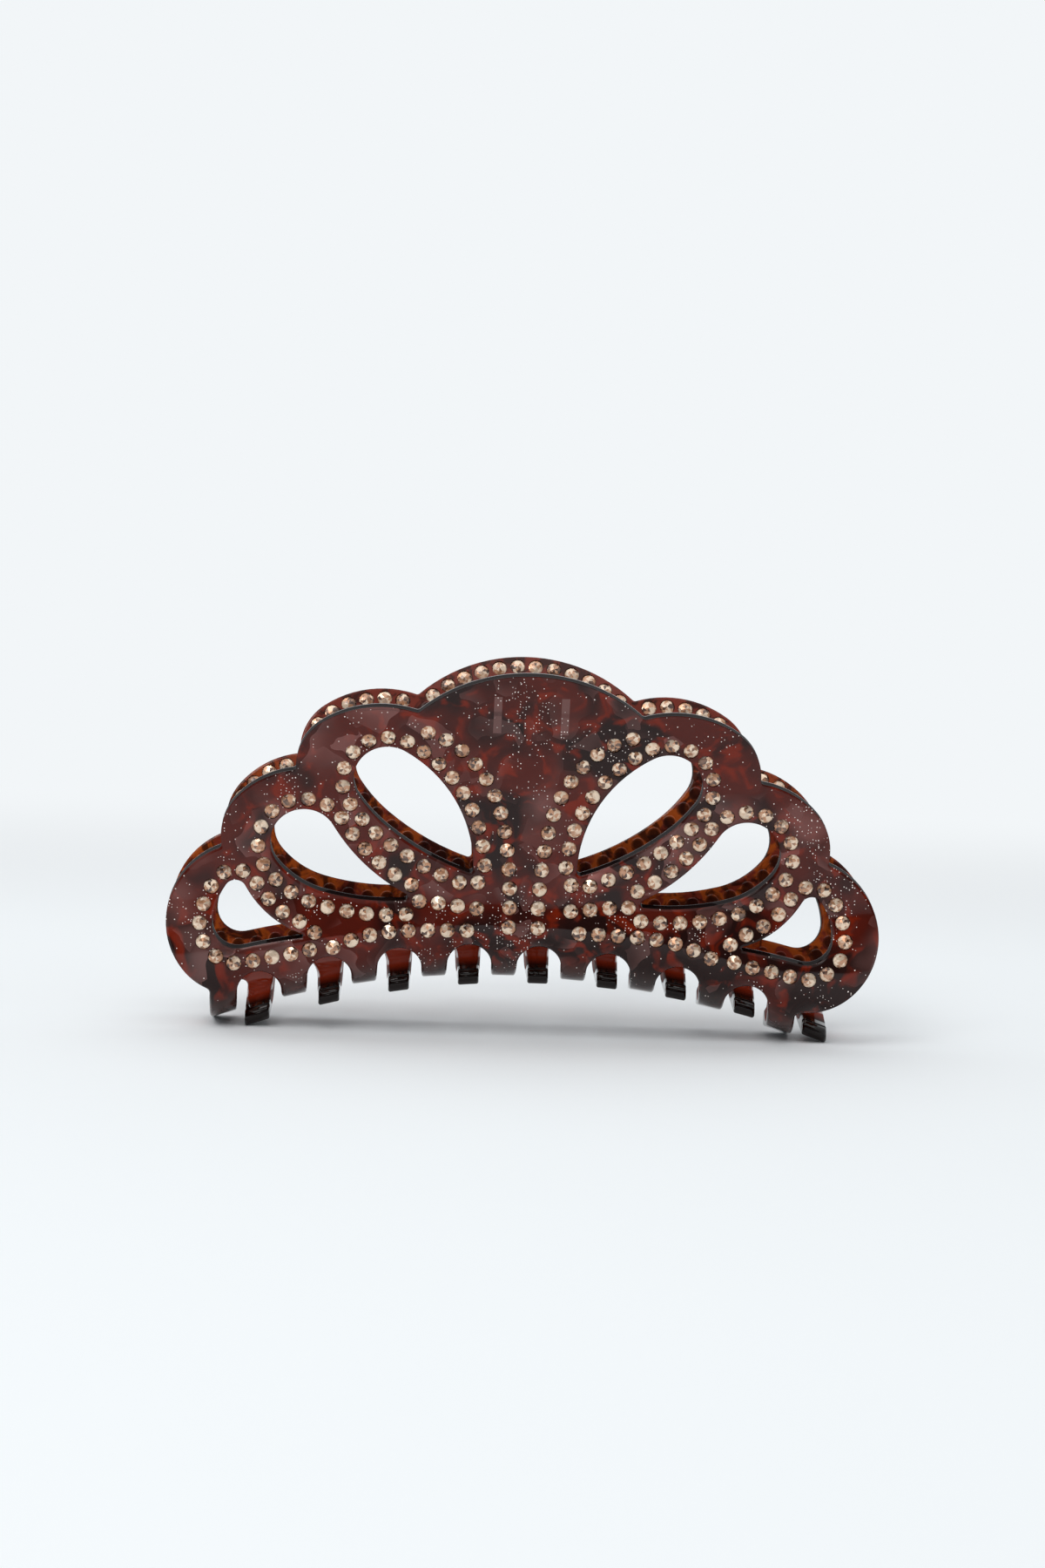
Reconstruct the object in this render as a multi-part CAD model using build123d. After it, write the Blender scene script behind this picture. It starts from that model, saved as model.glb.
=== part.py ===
from build123d import *
import os
from math import acos, atan2, cos, hypot, radians, sin, sqrt

# A large claw hair clip. Two cut and bent sheets, the jaws, stand on their tooth tips.
# X runs along the clip, the front jaw faces -Y, and the floor under the tips is z = 0.
# The back jaw is the front jaw turned half a turn about Z, so the two tooth rows mesh.

# Sheet and overall size of one jaw, as drawn before it is set down on the floor
sheet = 3.0
jaw_width = 111.4
jaw_height = 57.9
edge_rounding = 0.35
valley_rounding = 0.6

# Bend of the sheet: upright below, then leaning outward on one large radius
lower_half_gap = 11.0
flare_start = 19.5
flare_radius = 78.0
flare_sweep = 36.0
cut_tilt = 8.0

# Teeth, which curl inward below an arch across the jaw
tooth_count = 9
tooth_row = 91.92
tooth_width = 4.4
tooth_shift = 0.25
tip_width = 3.3
tip_thickness = 2.3
tip_slope = 8.0
tip_reach = 5.0
tip_rounding = 1.0
arch_radius = 140.0
arch_sweep = 27.0
notch_top = 14.9
curl_lead = 3.3
curl_radius = 9.0
bend_overlap = 0.6
row_corner = 1.0
row_rise = 4.0

# Stones and their seats
stone_diameter = 2.35
stone_spacing = 0.65
rim_spacing = 0.60
stone_facets = 8
table_share = 0.56
crown_height = 0.35
girdle_height = 0.10
pavilion_height = 0.85
stone_sink = 0.15
seat_gap = 0.05
seat_floor_gap = 0.12
seat_wall = 0.1
rim_margin = 1.6
rim_end = 3.0
seat_reach = 1.0
ring_steps = 720
row_play = 0.1

# Hinge behind the middle of the clip
pin_height = 36.0
pin_radius = 0.8
pin_fit = 0.05
pin_head_radius = 1.5
pin_head_height = 0.6
side_gap = 0.1
eye_radius = 2.0
cheek_thickness = 1.2
cheek_place = 5.2
nest_gap = 0.3
web_thickness = 0.8
web_top_margin = 3.5
web_height = 27.0
mount_gap = 0.05
tab_height = 5.7
tab_depth = 1.8
wire_radius = 0.35
wire_gap = 0.2
coil_radius = 1.6
leg_lean = 42.0
leg_inset = 0.02
leg_bite = 0.1
leg_rounding = 0.175
turn_gap = 4.0

# Rim of one half of the jaw, right of the crown. The rows are scallops, from the crown down.
# Each point is x as a share of half the jaw's width, and z as a share of its height.
# start, heading in degrees at the start, shoulder, end
scallops = [
    ((0.313, 0.889), 18.5, (0.582, 0.853), (0.647, 0.722)),
    ((0.647, 0.722), -7.0, (0.815, 0.637), (0.849, 0.504)),
    ((0.849, 0.504), -20.0, (0.980, 0.390), (0.770, 0.093)),
]

# Openings of one half: start at the pointed end, heading, rounding of the point in mm,
# the joints of the arcs, then the stone ring's margin and drop in mm, and its first stone
openings = [
    ((0.145, 0.450), 91.0, 0.6, [(0.345, 0.782), (0.470, 0.655), (0.388, 0.572)], 1.75, 0.20, 0.0),
    ((0.298, 0.376), 22.3, 0.6, [(0.540, 0.572), (0.692, 0.466), (0.568, 0.391)], 1.90, 0.20, 0.0),
    ((0.589, 0.266), 11.0, 0.35,
     [(0.781, 0.399), (0.835, 0.401), (0.871, 0.302), (0.783, 0.230)], 1.95, 0.25, 0.35),
]

# Open rows of stones on one half: start, heading, joints
stone_rows = [
    ((0.041, 0.309), 92.0, [(0.063, 0.580), (0.154, 0.758), (0.284, 0.836)]),
    ((0.240, 0.369), 187.0, [(0.132, 0.357)]),
    ((0.531, 0.240), 153.0, [(0.345, 0.290), (0.158, 0.297)]),
]

# Values worked out from the sizes above
half_width = jaw_width / 2
tooth_pitch = (tooth_row - tooth_width) / (tooth_count - 1)
row_shift = -tooth_shift * tooth_pitch
tooth_gap = tooth_pitch - tooth_width
arch_z = notch_top - arch_radius
curl_top = notch_top + curl_lead
inner_radius = flare_radius + sheet
flare_centre_y = -(lower_half_gap + flare_radius)
stone_pitch = stone_diameter + stone_spacing
rim_pitch = stone_diameter + rim_spacing
far = jaw_width + jaw_height
tilt_cos = cos(radians(cut_tilt))
tilt_sin = sin(radians(cut_tilt))
cut_plane = Plane(origin=(0, 0, 0), x_dir=(1, 0, 0), z_dir=(0, -tilt_cos, -tilt_sin))
side_plane = Plane(origin=(0, 0, 0), x_dir=(0, 1, 0), z_dir=(1, 0, 0))


def face_distance(z):
    """Distance of the outer face from the middle of the clip at a height."""
    if z <= flare_start:
        return lower_half_gap
    return -flare_centre_y - sqrt(flare_radius**2 - (z - flare_start) ** 2)


def drawn(point):
    """A point of the tables, in the cut plane, where x is along the clip."""
    x = point[0] * half_width
    z = point[1] * jaw_height
    return (x, z * tilt_cos + face_distance(z) * tilt_sin)


def arc_chain(start, heading, joints):
    """Tangent arcs from a start point through the joints."""
    at = drawn(start)
    direction = Vector(cos(radians(heading)), sin(radians(heading)))
    edges = []
    for joint in joints:
        edge = TangentArc(at, drawn(joint), tangent=direction)
        edges.append(edge)
        direction = edge % 1
        at = drawn(joint)
    return edges


def nearest_corner(face, point):
    """The corner of a flat face that lies nearest a point of the drawing."""
    return face.vertices().sort_by_distance(Vector(*point, 0))[0]


def outline():
    """The jaw's flat outline with its tooth row still one block."""
    right = []
    for start, heading, shoulder, end in scallops:
        right += arc_chain(start, heading, [shoulder, end])
    left = [edge.mirror(Plane.YZ) for edge in right]
    rim_x, rim_y = drawn(scallops[0][0])
    foot_x, foot_y = drawn(scallops[-1][3])
    crown = ThreePointArc((-rim_x, rim_y), drawn((0, 1)), (rim_x, rim_y))
    base = Line((foot_x, foot_y), (-foot_x, foot_y))
    plate = make_face([crown, *right, base, *left])
    block = Pos(row_shift, foot_y + row_rise - far / 2) * Rectangle(tooth_row, far)
    flat = plate + block
    valleys = []
    for start, heading, shoulder, end in scallops:
        x, y = drawn(start)
        valleys += [nearest_corner(flat, (x, y)), nearest_corner(flat, (-x, y))]
    flat = fillet(valleys, valley_rounding)
    corners = flat.vertices().filter_by(
        lambda v: abs(abs(v.X - row_shift) - tooth_row / 2) < row_corner / 4 and v.Y > foot_y - far / 2
    )
    return fillet(corners, row_corner)


def opening_faces():
    """The pointed openings of the right half."""
    faces = []
    for start, heading, rounding, joints, margin, drop, first in openings:
        face = make_face(arc_chain(start, heading, [*joints, start]))
        faces.append(fillet(nearest_corner(face, drawn(start)), rounding))
    return faces


def notches():
    """Cuts between the teeth, round at the top on the arch, which widen towards the tips."""
    tools = []
    growth = (tooth_width - tip_width) / (lower_half_gap + tip_reach)
    for k in range(tooth_count - 1):
        x = (k + 1 - tooth_count / 2) * tooth_pitch
        z = arch_z + sqrt(arch_radius**2 - x**2)
        y = z * tilt_cos + lower_half_gap * tilt_sin
        ends = []
        for inward in (-2 * sheet, lower_half_gap + tip_reach + 2 * sheet):
            width = tooth_gap + growth * inward
            middle = Pos(x + row_shift, y - width / 2)
            face = middle * Circle(width / 2) + middle * Pos(0, -far / 2) * Rectangle(width, far)
            ends.append(cut_plane.offset(lower_half_gap - inward) * face)
        tools.append(loft(ends, ruled=True))
    return tools


def curl_profile():
    """Section of a tooth, from the bend of the sheet to the tip."""
    centre_y = curl_radius - lower_half_gap
    bend = radians(90 - tip_slope)
    slope = radians(tip_slope)
    joint_top = curl_top + bend_overlap
    belly = (centre_y - curl_radius * cos(bend), curl_top - curl_radius * sin(bend))
    low = (tip_reach, belly[1] - (tip_reach - belly[0]) * sin(slope) / cos(slope))
    high = (low[0] + tip_thickness * sin(slope), low[1] + tip_thickness * cos(slope))
    inner = curl_radius - sheet
    away = hypot(high[0] - centre_y, high[1] - curl_top)
    turn = atan2(high[1] - curl_top, high[0] - centre_y) - acos(inner / away)
    touch = (centre_y + inner * cos(turn), curl_top + inner * sin(turn))
    outer = -lower_half_gap
    edges = [
        Line((outer, joint_top), (outer, curl_top)),
        TangentArc((outer, curl_top), belly, tangent=(0, -1)),
        Line(belly, low),
        Line(low, high),
        Line(high, touch),
        TangentArc((outer + sheet, curl_top), touch, tangent=(0, -1)),
        Line((outer + sheet, curl_top), (outer + sheet, joint_top)),
        Line((outer + sheet, joint_top), (outer, joint_top)),
    ]
    section = make_face(edges)
    section = fillet([nearest_corner(section, low), nearest_corner(section, high)], tip_rounding)
    return Pos(row_shift, 0, 0) * (side_plane * section)


def bent_sheet():
    """The whole bent sheet, curl and flare, before the outline is cut from it."""
    arch_axis = Axis((row_shift, 0, arch_z), (0, 1, 0))
    curl = revolve(curl_profile().rotate(arch_axis, -arch_sweep), arch_axis, 2 * arch_sweep)
    sweep = radians(flare_sweep)
    outer = -lower_half_gap
    inner = outer + sheet
    outer_end = (flare_centre_y + flare_radius * cos(sweep), flare_start + flare_radius * sin(sweep))
    inner_end = (flare_centre_y + inner_radius * cos(sweep), flare_start + inner_radius * sin(sweep))
    edges = [
        Line((outer, -flare_start), (outer, flare_start)),
        TangentArc((outer, flare_start), outer_end, tangent=(0, 1)),
        Line(outer_end, inner_end),
        TangentArc((inner, flare_start), inner_end, tangent=(0, 1)),
        Line((inner, flare_start), (inner, -flare_start)),
        Line((inner, -flare_start), (outer, -flare_start)),
    ]
    upper = extrude(side_plane * make_face(edges), half_width + sheet, both=True)
    below = Rot(90, 0, 0) * Cylinder(arch_radius + curl_lead + bend_overlap, far)
    upper = upper - Pos(row_shift, 0, arch_z) * below
    return (upper + curl).clean()


def sharp_edges(solid):
    """Edges where two faces meet at a clear angle."""
    smooth_angle = 12
    beside = {}
    for face in solid.faces():
        for edge in face.edges():
            beside.setdefault(edge, []).append(face)
    sharp = []
    for edge, faces in beside.items():
        if len(faces) != 2:
            continue
        middle = edge @ 0.5
        first, second = [face.normal_at(middle) for face in faces]
        if first.get_angle(second) > smooth_angle:
            sharp.append(edge)
    return sharp


def on_face(x, y, inner):
    """Plane that lies on the sheet, outer or inner face, at a point of the cut plane."""
    radius = inner_radius if inner else flare_radius
    upright = lower_half_gap - sheet if inner else lower_half_gap
    depth = (upright - y * tilt_sin) / tilt_cos
    z = y * tilt_cos - depth * tilt_sin
    if z > flare_start:
        centre_up = flare_start * tilt_cos - flare_centre_y * tilt_sin
        centre_out = -flare_centre_y * tilt_cos - flare_start * tilt_sin
        depth = centre_out - sqrt(radius**2 - (y - centre_up) ** 2)
        z = y * tilt_cos - depth * tilt_sin
    lean = max(0.0, (z - flare_start) / radius)
    upward = sqrt(1 - lean**2)
    side = 1 if inner else -1
    place = Vector(x, -y * tilt_sin - depth * tilt_cos, z)
    return Plane(origin=place, x_dir=(1, 0, 0), z_dir=(0, side * upward, side * lean))


def ring_points():
    """Stone places round the openings of the right half, in the cut plane."""
    points = []
    faces = opening_faces()
    for face, (start, heading, rounding, joints, margin, drop, first) in zip(faces, openings):
        ring = face.faces()[0].outer_wire().offset_2d(margin, kind=Kind.ARC)
        tip = Vector(*drawn(start), 0)
        shares = [k / ring_steps for k in range(ring_steps)]
        tip_share = min(shares, key=lambda u: ((ring @ u) - tip).length)
        count = int(ring.length / stone_pitch)
        for k in range(count):
            spot = ring @ ((tip_share + (k + first) / count) % 1)
            points.append((spot.X, spot.Y - drop))
    return points


def row_points():
    """Stone places along the open rows of the right half, in the cut plane."""
    points = []
    for start, heading, joints in stone_rows:
        line = Wire(arc_chain(start, heading, joints))
        count = int(line.length / stone_pitch + row_play)
        for k in range(count + 1):
            spot = line @ (k / count)
            points.append((spot.X, spot.Y))
    return points


def spaced(points):
    """The points whose seats leave a wall to every seat before them."""
    apart = stone_diameter + 2 * seat_gap + seat_wall
    kept = []
    for x, y in points:
        if all(hypot(x - other_x, y - other_y) > apart for other_x, other_y in kept):
            kept.append((x, y))
    return kept


def inset(edges, margin):
    """A chain of arcs moved inward from the rim, with the same headings."""
    moved = []
    for edge in edges:
        headings = [edge % 0, edge % 1]
        ends = [edge @ end + Vector(heading.Y, -heading.X) * margin
                for end, heading in zip((0, 1), headings)]
        moved.append(TangentArc(*ends, tangent=headings[0]))
    return Wire(moved)


def rim_points():
    """Stone places along the rim of the inner face, in the cut plane."""
    crown_x, crown_y = drawn(scallops[0][0])
    crown = ThreePointArc((-crown_x, crown_y), drawn((0, 1)), (crown_x, crown_y))
    runs = [inset([crown], rim_margin)]
    for start, heading, shoulder, end in scallops[:2]:
        right = inset(arc_chain(start, heading, [shoulder, end]), rim_margin)
        runs += [right, right.mirror(Plane.YZ)]
    points = []
    for run in runs:
        count = int((run.length - rim_end) / rim_pitch) + 1
        spare = (run.length - (count - 1) * rim_pitch) / 2
        for k in range(count):
            spot = run @ ((spare + k * rim_pitch) / run.length)
            points.append((spot.X, spot.Y))
    return points


def stone():
    """One cut stone: table, crown, girdle and pointed pavilion, its face up at +Z."""
    radius = stone_diameter / 2
    girdle = RegularPolygon(radius, stone_facets)
    table = Pos(0, 0, crown_height) * RegularPolygon(radius * table_share, stone_facets)
    crown = loft([girdle, table], ruled=True)
    rim = extrude(girdle, -girdle_height)
    base = Pos(0, 0, -girdle_height) * girdle
    pavilion = loft([base, Vertex(0, 0, -girdle_height - pavilion_height)], ruled=True)
    return Pos(0, 0, -stone_sink) * (crown + rim + pavilion)


def seat():
    """The drilled seat of a stone, reaching out past the face."""
    radius = stone_diameter / 2 + seat_gap
    wall = stone_sink + girdle_height + seat_gap
    depth = stone_sink + girdle_height + pavilion_height + seat_floor_gap
    profile = make_face(Polyline([
        (0, seat_reach), (radius, seat_reach), (radius, -wall), (0, -depth), (0, seat_reach),
    ]))
    return revolve(Plane.XZ * profile, Axis.Z)


def hinge_circle(radius):
    """A circle in side view about the centre of the sheet's flare."""
    return Pos(flare_centre_y, flare_start) * Circle(radius)


def hinge_window(height):
    """A side-view window below the top of the bracket's web."""
    top = jaw_height - web_top_margin
    return Pos(flare_centre_y + inner_radius, top - height / 2) * Rectangle(inner_radius, height)


def tab_face(clearance):
    """Section of a tab in the sheet, or of its slot when given a clearance."""
    window = Pos(0, clearance) * hinge_window(tab_height + 2 * clearance)
    near = hinge_circle(inner_radius + mount_gap + web_thickness / 2)
    return (near - hinge_circle(inner_radius - tab_depth - clearance)) & window


def slots(place):
    """Slots in the inner face that take a bracket's tabs."""
    slot = extrude(side_plane * tab_face(mount_gap), cheek_thickness / 2 + mount_gap, both=True)
    return [Pos(-place, 0, 0) * slot, Pos(place, 0, 0) * slot]


def bracket(place):
    """A metal bracket on the front jaw: a web, two cheeks with eyes, and their tabs."""
    top = jaw_height - web_top_margin
    sheet_side = hinge_circle(inner_radius + mount_gap)
    web = (hinge_circle(inner_radius + mount_gap + web_thickness) - sheet_side) & hinge_window(web_height)
    ends = [(flare_centre_y + sqrt(inner_radius**2 - (z - flare_start) ** 2), z)
            for z in (top - web_height, top)]
    eye = Pos(0, pin_height) * Circle(eye_radius)
    arm = make_hull([*eye.edges(), Line(*ends)])
    cheek = arm - sheet_side - Pos(0, pin_height) * Circle(pin_radius + pin_fit) + tab_face(0)
    solid = extrude(side_plane * web, place + cheek_thickness / 2, both=True)
    for x in (-place, place):
        solid += Pos(x, 0, 0) * extrude(side_plane * cheek, cheek_thickness / 2, both=True)
    return solid


def hinge_pin():
    """The pin through the four eyes, with a head at each end."""
    reach = cheek_place + cheek_thickness / 2 + side_gap
    shaft = extrude(side_plane * Circle(pin_radius), reach + pin_head_height, both=True)
    head = extrude(side_plane * Circle(pin_head_radius), pin_head_height)
    heads = Pos(reach, 0, 0) * head + Pos(-reach - pin_head_height, 0, 0) * head
    return Pos(0, 0, pin_height) * (shaft + heads)


def spring_parts():
    """The torsion spring: the coil with its front leg, and a last turn with the back leg."""
    pitch = 2 * wire_radius + wire_gap
    inner_place = cheek_place - cheek_thickness - nest_gap
    room = inner_place - cheek_thickness / 2 - side_gap - 2 * wire_radius
    last_turn = 1 + (2 * (90 - leg_lean) - turn_gap) / 360
    turns = int((2 * room) / pitch - last_turn)
    start_x = -(turns + last_turn) * pitch / 2
    start_turn = 180 + leg_lean
    lean = radians(leg_lean)
    foot = Vector(0, -coil_radius * cos(lean), -coil_radius * sin(lean))
    reach = inner_radius + mount_gap + web_thickness + wire_radius + mount_gap
    across = foot.Y - flare_centre_y
    up = foot.Z + pin_height - flare_start
    along = across * sin(lean) - up * cos(lean)
    leg_length = along - sqrt(along**2 - (across**2 + up**2 - reach**2))
    solids = []
    for count, turn, x, end, side in (
        (turns, start_turn, start_x, 0, -1),
        (last_turn, start_turn + turn_gap, start_x + (turns + turn_gap / 360) * pitch, 1, 1),
    ):
        helix = Rot(0, 0, turn) * Helix(pitch, count * pitch, coil_radius)
        path = Pos(x, 0, 0) * (side_plane * helix)
        section = Plane(origin=path @ 0, z_dir=path % 0) * Circle(wire_radius)
        coil = sweep(section, path=path, is_frenet=True)
        heading = Vector(0, side * sin(lean), cos(lean))
        root = (path @ end) - heading * leg_bite
        leg_section = Plane(origin=root, z_dir=heading) * Circle(wire_radius - leg_inset)
        leg = extrude(leg_section, leg_length + leg_bite)
        tip = leg.edges().filter_by(GeomType.CIRCLE).sort_by_distance(root)[-1]
        solids.append(Pos(0, 0, pin_height) * (coil + fillet(tip, leg_rounding)))
    return solids


def jaw():
    """One bent jaw with its teeth, openings and rounded edges, without seats or slots."""
    flat = outline()
    for face in opening_faces():
        flat = flat - face - face.mirror(Plane.YZ)
    solid = (bent_sheet() & extrude(cut_plane * flat, far, both=True)) - notches()
    return fillet(sharp_edges(solid), edge_rounding)


def placed(shape, planes):
    """Copies of a shape on a list of planes."""
    return [shape.moved(Location(plane)) for plane in planes]


def mirrored(points):
    """The points of the right half with those of the left half."""
    return points + [(-x, y) for x, y in points]


face_points = spaced(ring_points() + row_points())
face_planes = [on_face(x, y, False) for x, y in mirrored(face_points)]
rim_planes = [on_face(x, y, True) for x, y in rim_points()]
plain_jaw = jaw()
seated_jaw = plain_jaw - placed(seat(), face_planes + rim_planes)
back_place = cheek_place - cheek_thickness - nest_gap
coil, back_leg = spring_parts()
lift = Pos(0, 0, -plain_jaw.bounding_box().min.Z)
turned = Rot(0, 0, 180)
nodes = {
    "front_jaw": seated_jaw - slots(cheek_place),
    "back_jaw": turned * (seated_jaw - slots(back_place)),
    "front_face_stones": Compound(placed(stone(), face_planes)),
    "front_rim_stones": Compound(placed(stone(), rim_planes)),
    "back_rim_stones": turned * Compound(placed(stone(), rim_planes)),
    "front_bracket": bracket(cheek_place),
    "back_bracket": turned * bracket(back_place),
    "hinge_pin": hinge_pin(),
    "spring_coil": coil,
    "spring_back_leg": back_leg,
}
os.makedirs("parts", exist_ok=True)
for name, shape in nodes.items():
    export_step(lift * shape, f"parts/{name}.step")
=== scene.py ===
"""Looks of a large claw hair clip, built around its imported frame.

The jaws, the hinge and the spring are the frame's own solids with procedural finishes.
The stones are finer cut stones that stand for the frame's plain ones.
"""

import logging
from dataclasses import dataclass
from enum import Enum
from math import cos, radians, sin
from typing import Optional, Sequence, Union

import bpy
import numpy as np
from mathutils import Matrix, Vector


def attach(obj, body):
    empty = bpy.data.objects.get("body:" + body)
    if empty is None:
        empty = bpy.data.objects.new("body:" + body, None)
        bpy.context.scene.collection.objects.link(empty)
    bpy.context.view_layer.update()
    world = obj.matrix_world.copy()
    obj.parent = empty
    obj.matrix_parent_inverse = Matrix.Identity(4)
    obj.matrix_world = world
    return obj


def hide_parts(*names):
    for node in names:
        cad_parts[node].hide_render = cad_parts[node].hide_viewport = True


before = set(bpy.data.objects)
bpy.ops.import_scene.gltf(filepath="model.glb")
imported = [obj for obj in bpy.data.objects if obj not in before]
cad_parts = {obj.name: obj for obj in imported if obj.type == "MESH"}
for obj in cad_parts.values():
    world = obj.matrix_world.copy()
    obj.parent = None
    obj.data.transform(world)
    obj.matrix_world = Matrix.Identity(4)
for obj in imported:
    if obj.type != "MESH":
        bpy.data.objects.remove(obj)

log = logging.getLogger("hair_clip")
Colour = tuple[float, float, float]
Socket = bpy.types.NodeSocket
Value = Union[float, Socket]
Place = tuple[float, float, float]
Rise = tuple[float, ...]  # Where a smooth step starts and ends, and its top if that isn't 1.

MM = 0.001


class Side(Enum):
    """Which jaw a piece belongs to. The value turns the back jaw onto the front one."""

    FRONT = 1.0
    BACK = -1.0

    @property
    def body(self) -> str:
        """Name of the frame's body."""
        return "front" if self is Side.FRONT else "back"


class Face(Enum):
    """The two faces of a jaw's sheet."""

    OUTER = "outer"
    INNER = "inner"


@dataclass(frozen=True)
class Bend:
    """The bend of a jaw's sheet, in millimetres, as it stands on the floor.

    The sheet is upright up to start_z, and above that it follows a circle about
    (centre_y, start_z). A tooth curls about (curl_y, curl_z) below an arch across the jaw,
    and its finish follows the curl up to curl_top above the curl's start.
    """

    centre_y: float = -89.0
    start_z: float = 19.2625
    outer_radius: float = 78.0
    sheet: float = 3.0
    arch_x: float = -2.735
    arch_z: float = -125.3375
    curl_y: float = -2.0
    curl_z: float = 17.9625
    curl_radius: float = 9.0
    curl_top: float = 0.5

    def project(self, points: np.ndarray, face: Face) -> tuple[np.ndarray, np.ndarray]:
        """Drops points onto a face of the front jaw's sheet above its curl.

        The face is a circle in side view, with its upright part below. A point moves along
        the line from the circle's centre, or level where the sheet is upright.

        Args:
            points: Places in millimetres, one row each.
            face: The face to drop them onto.

        Returns:
            The places on the face, and the face's outward normals there.
        """
        radius = self.outer_radius + (self.sheet if face is Face.INNER else 0.0)
        sign = 1.0 if face is Face.INNER else -1.0
        across = points[:, 1] - self.centre_y
        up = np.maximum(points[:, 2] - self.start_z, 0.0)
        away = np.hypot(across, up)
        normals = np.stack([np.zeros(len(points)), across / away, up / away], axis=1)
        places = points + normals * (radius - away)[:, None]
        return places, normals * sign


BEND = Bend()


class Graph:
    """A node tree, with short calls for the nodes that the finishes and the room use."""

    def __init__(self, owner: Union[bpy.types.Material, bpy.types.World]) -> None:
        """Empties the owner's node tree and starts on it."""
        self.owner = owner
        owner.use_nodes = True
        self.tree = owner.node_tree
        self.tree.nodes.clear()

    @classmethod
    def named(cls, name: str) -> "Graph":
        """The tree of a new material of that name."""
        return cls(bpy.data.materials.new(name))

    def node(self, kind: str, inputs: Optional[dict] = None, **settings: object) -> bpy.types.Node:
        """Adds a node.

        Args:
            kind: Blender's name of the node type, without its ShaderNode prefix.
            inputs: Values or sockets by input name or index.
            settings: The node's own properties.

        Returns:
            The new node.
        """
        made = self.tree.nodes.new("ShaderNode" + kind)
        for key, value in settings.items():
            setattr(made, key, value)
        for key, value in (inputs or {}).items():
            self.feed(made.inputs[key], value)
        return made

    def feed(self, target: Socket, value: object) -> None:
        """Links a socket or a node's first output to an input, or sets the input's own value."""
        if isinstance(value, bpy.types.Node):
            value = value.outputs[0]
        if isinstance(value, bpy.types.NodeSocket):
            self.tree.links.new(value, target)
        elif isinstance(value, tuple) and target.type == "RGBA" and len(value) == 3:
            target.default_value = (*value, 1.0)
        else:
            target.default_value = value

    def math(self, operation: str, a: Value, b: Value = 0.0) -> Socket:
        """One Math node of that operation."""
        return self.node("Math", {0: a, 1: b}, operation=operation).outputs[0]

    def product(self, *factors: Value) -> Socket:
        """The factors multiplied, from left to right."""
        total = factors[0]
        for factor in factors[1:]:
            total = self.math("MULTIPLY", total, factor)
        return total

    def blend(self, share: Value, low: float, high: float) -> Socket:
        """A number that goes from low to high as the share goes from 0 to 1."""
        return self.math("ADD", self.math("MULTIPLY", share, high - low), low)

    def less(self, a: Value, b: Value) -> Socket:
        """The difference a - b."""
        return self.math("SUBTRACT", a, b)

    def length(self, a: Value, b: Value) -> Socket:
        """Length of the pair (a, b)."""
        return self.math("SQRT", self.math("ADD", self.product(a, a), self.product(b, b)))

    def vector(self, operation: str, a: object, b: object = (0.0, 0.0, 0.0)) -> bpy.types.Node:
        """One Vector Math node of that operation."""
        return self.node("VectorMath", {0: a, 1: b}, operation=operation)

    def scaled(self, place: object, factor: Value) -> bpy.types.Node:
        """A vector times a number."""
        return self.node("VectorMath", {0: place, "Scale": factor}, operation="SCALE")

    def split(self, place: object) -> tuple[Socket, Socket, Socket]:
        """The three parts of a vector."""
        return tuple(self.node("SeparateXYZ", {0: place}).outputs)

    def step(self, value: Value, low: float, high: float, top: float = 1.0) -> Socket:
        """A smooth rise from 0 at low to top at high. It falls where low is above high."""
        ramp = self.node("MapRange", {"Value": value, "From Min": low, "From Max": high,
                                      "To Min": 0.0, "To Max": top},
                         interpolation_type="SMOOTHSTEP")
        return ramp.outputs[0]

    def spots(self, x: Socket, z: Socket, places: Sequence[Place]) -> Socket:
        """Soft round spots, as a mask.

        Args:
            x: Place along the clip in millimetres.
            z: Height in millimetres.
            places: Each spot's middle in x and z, and its reach.

        Returns:
            1 in the middle of a spot, falling smoothly to 0 at its reach.
        """
        mask = 0.0
        for middle_x, middle_z, reach in places:
            away = self.length(self.less(x, middle_x), self.less(z, middle_z))
            mask = self.math("MAXIMUM", mask, self.step(away, reach, 0.0))
        return mask

    def mix(self, factor: Value, a: object, b: object) -> Socket:
        """A colour between a and b."""
        mixer = self.node("Mix", data_type="RGBA")
        for index, value in ((0, factor), (6, a), (7, b)):
            self.feed(mixer.inputs[index], value)
        return mixer.outputs[2]

    def noise(self, place: object, scale: float, detail: float = 2.0,
              rough: float = 0.5, warp: float = 0.0) -> Socket:
        """A Noise Texture's value at a place."""
        return self.node("TexNoise", {"Vector": place, "Scale": scale, "Detail": detail,
                                      "Roughness": rough, "Distortion": warp}).outputs[0]

    def close(self, **sockets: object) -> bpy.types.Material:
        """Ends the tree in a Principled BSDF with these inputs, underscores for spaces."""
        inputs = {key.replace("_", " "): value for key, value in sockets.items()}
        shader = self.node("BsdfPrincipled", inputs)
        output = self.node("OutputMaterial")
        self.tree.links.new(shader.outputs[0], output.inputs[0])
        return self.owner


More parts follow.
